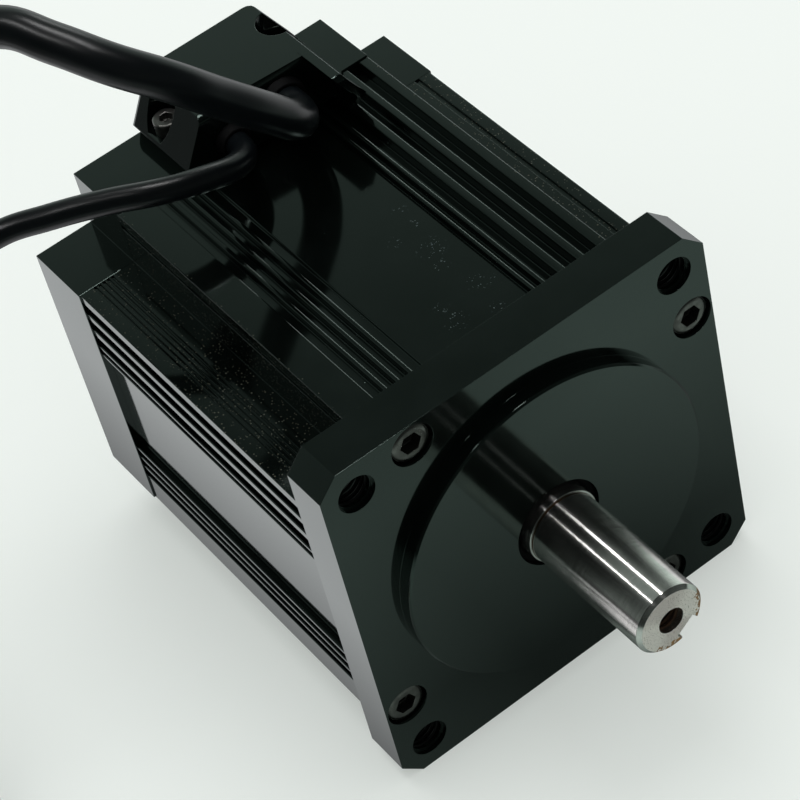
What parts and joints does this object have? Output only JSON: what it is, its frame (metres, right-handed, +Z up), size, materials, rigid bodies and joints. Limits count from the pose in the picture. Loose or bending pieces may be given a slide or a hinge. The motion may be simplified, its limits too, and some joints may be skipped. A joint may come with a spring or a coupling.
{
  "type": "brushless dc motor",
  "caption": "Brushless dc motor with a square mounting flange and centring pilot, keyed output shaft, ribbed square housing, rear cap and top terminal block with a power lead and a sensor lead.",
  "frame": {"origin": "on the shaft's axis at the flange's front face, the face that meets a machine", "axes": "the output shaft points along -Y, the rear cap lies towards +Y, +Z is up through the terminal block and +X is to the right when looking along +Y"},
  "size_m": [0.2298, 0.205, 0.179],
  "materials": {
    "black_anodised": "semi-gloss black anodised, faint green cast",
    "black_oxide_steel": "satin black oxide",
    "black_rubber": "satin",
    "bearing_steel": "polished",
    "cage_brass": "satin",
    "spring_steel": "satin",
    "lamination_steel": "satin laminations",
    "magnet": "nickel plated",
    "copper": "enamelled copper",
    "wire_red": "gloss",
    "wire_blue": "gloss",
    "cream_plastic": "matt",
    "board_green": "solder mask",
    "sensor_black": "matt",
    "ground_steel": "ground, bright",
    "black_pvc": "gloss",
    "black_nylon": "satin",
    "white_nylon": "satin"
  },
  "bodies": {
    "motor_body": {"front_flange": "black_anodised", "housing": "black_anodised", "rear_cap": "black_anodised", "flange_screws": "black_oxide_steel", "rear_screws": "black_oxide_steel", "terminal_block": "black_anodised", "block_screws": "black_oxide_steel", "power_grommet": "black_rubber", "sensor_grommet": "black_rubber", "shaft_seal": "black_rubber", "front_outer_ring": "bearing_steel", "rear_outer_ring": "bearing_steel", "preload_washer": "spring_steel", "stator_core": "lamination_steel", "stator_windings": "copper", "end_insulators": "cream_plastic", "sensor_board": "board_green", "hall_sensors": "sensor_black", "board_screws": "spring_steel", "phase_leads": "wire_red", "sensor_wires": "wire_blue", "power_lead": "black_pvc", "sensor_lead": "black_pvc", "lead_tie": "black_nylon", "power_connector": "black_nylon", "sensor_connector": "white_nylon"},
    "rotor": {"shaft": "ground_steel", "rotor_core": "lamination_steel", "rotor_magnets": "magnet", "retaining_rings": "spring_steel", "front_inner_ring": "bearing_steel", "rear_inner_ring": "bearing_steel"},
    "front_ball_set": {"front_balls": "bearing_steel", "front_cage": "cage_brass"},
    "rear_ball_set": {"rear_balls": "bearing_steel", "rear_cage": "cage_brass"}
  },
  "joints": [
    {"name": "rotor_spin", "type": "hinge", "parent": "motor_body", "child": "rotor", "pos_m": [0, 0, 0], "axis": [0, -1, 0], "continuous": true},
    {"name": "front_ball_orbit", "type": "hinge", "parent": "motor_body", "child": "front_ball_set", "pos_m": [0, 0.00954, 0], "axis": [0, -1, 0], "continuous": true},
    {"name": "rear_ball_orbit", "type": "hinge", "parent": "motor_body", "child": "rear_ball_set", "pos_m": [0, 0.1145, 0], "axis": [0, -1, 0], "continuous": true}
  ],
  "couplings": [
    {"joint": "front_ball_orbit", "follows": "rotor_spin", "ratio": 0.383},
    {"joint": "rear_ball_orbit", "follows": "rotor_spin", "ratio": 0.383}
  ]
}
